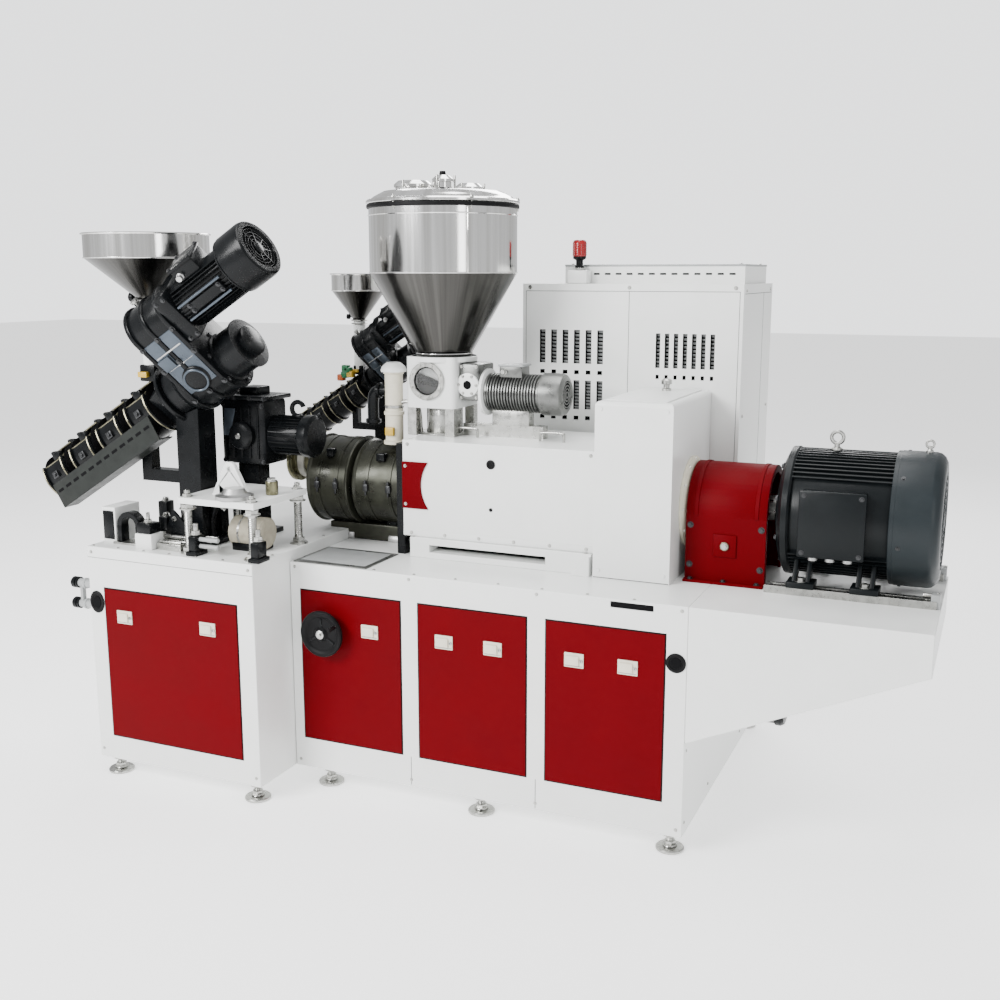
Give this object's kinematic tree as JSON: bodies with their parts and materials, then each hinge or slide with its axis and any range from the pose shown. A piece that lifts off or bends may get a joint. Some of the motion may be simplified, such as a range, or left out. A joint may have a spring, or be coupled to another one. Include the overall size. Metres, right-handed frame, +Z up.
{
  "type": "plastic extruder with two co-extruders",
  "caption": "Twin-screw plastic extruder on a boxed base, with an overhung drive motor, tall hopper, control cabinet and two inclined co-extruders on the die end.",
  "frame": {"origin": "centre of the footprint, on the floor the feet stand on", "axes": "+X along the barrel towards the drive motor, +Z up, the operator stands at -Y"},
  "size_m": [2.914, 1.3682, 1.97],
  "materials": {
    "white_enamel": "satin machine enamel, off-white",
    "red_enamel": "satin machine enamel, deep red",
    "latch_metal": "white powder coat",
    "foot_steel": "zinc plated",
    "rail_steel": "machined steel",
    "motor_paint": "semi-gloss dark blue-grey paint on cast iron",
    "pump_silver": "cast aluminium",
    "shaft_steel": "turned steel",
    "barrel_steel": "nitrided steel",
    "shroud_steel": "heat-darkened sheet steel",
    "dark_plate": "black paint",
    "adapter_steel": "heat-tinted steel",
    "stainless": "polished stainless sheet",
    "feeder_cast": "painted cast aluminium",
    "window_glass": "clear",
    "finned_aluminium": "bare cast aluminium",
    "vent_cream": "cream paint",
    "beacon_black": "black plastic",
    "beacon_red": "translucent red plastic",
    "connector_grey": "plated",
    "post_silver": "turned steel",
    "drum_beige": "beige insulation jacket",
    "fitting_black": "black oxide",
    "drive_black": "gloss black-blue paint on cast iron",
    "coex_barrel": "dark heat-proof paint",
    "tray_grey": "dark grey sheet",
    "wheel_black": "black bakelite disc with a raised rim"
  },
  "bodies": {
    "machine": {"base_frame": "white_enamel", "base_door_1": "red_enamel", "base_door_2": "red_enamel", "base_door_3": "red_enamel", "base_rear_doors": "red_enamel", "door_latches": "latch_metal", "levelling_feet": "foot_steel", "motor_platform": "white_enamel", "motor_rails": "rail_steel", "pump_motor": "pump_silver", "main_motor": "motor_paint", "motor_terminal_box": "motor_paint", "motor_fan_cowl": "motor_paint", "coupling_guard": "red_enamel", "gear_housing": "white_enamel", "shaft_coupling": "shaft_steel", "barrel": "barrel_steel", "barrel_shrouds": "shroud_steel", "barrel_end_plate": "dark_plate", "melt_adapter": "adapter_steel", "barrel_cover": "white_enamel", "barrel_cover_feet": "white_enamel", "side_plate": "red_enamel", "main_hopper": "stainless", "hopper_lid": "stainless", "feeder_housing": "feeder_cast", "feeder_window": "window_glass", "feeder_gear_case": "feeder_cast", "feeder_motor": "finned_aluminium", "feeder_stand": "white_enamel", "vent_stack": "vent_cream", "electrical_cabinet": "white_enamel", "beacon_stem": "beacon_black", "beacon_lens": "beacon_red", "die_cabinet": "white_enamel", "die_cabinet_doors": "red_enamel", "water_connectors": "connector_grey", "plate_posts": "post_silver", "lug_plate": "white_enamel", "drum": "drum_beige", "platform_fittings": "fitting_black", "side_drive": "drive_black", "side_drive_pedestal": "fitting_black", "coex_large_barrel": "coex_barrel", "coex_large_gear_unit": "drive_black", "coex_large_motor": "drive_black", "coex_large_hopper": "stainless", "coex_large_stand": "fitting_black", "coex_large_tray": "tray_grey", "coex_small_barrel": "coex_barrel", "coex_small_gear_unit": "drive_black", "coex_small_motor": "drive_black", "coex_small_hopper": "stainless", "coex_small_stand": "fitting_black", "handwheel_boss": "post_silver"},
    "handwheel": {"handwheel": "wheel_black"}
  },
  "joints": [
    {"name": "handwheel_spin", "type": "hinge", "parent": "machine", "child": "handwheel", "pos_m": [-0.34804, -0.49692, 0.537], "axis": [0, -1, 0], "continuous": true}
  ]
}
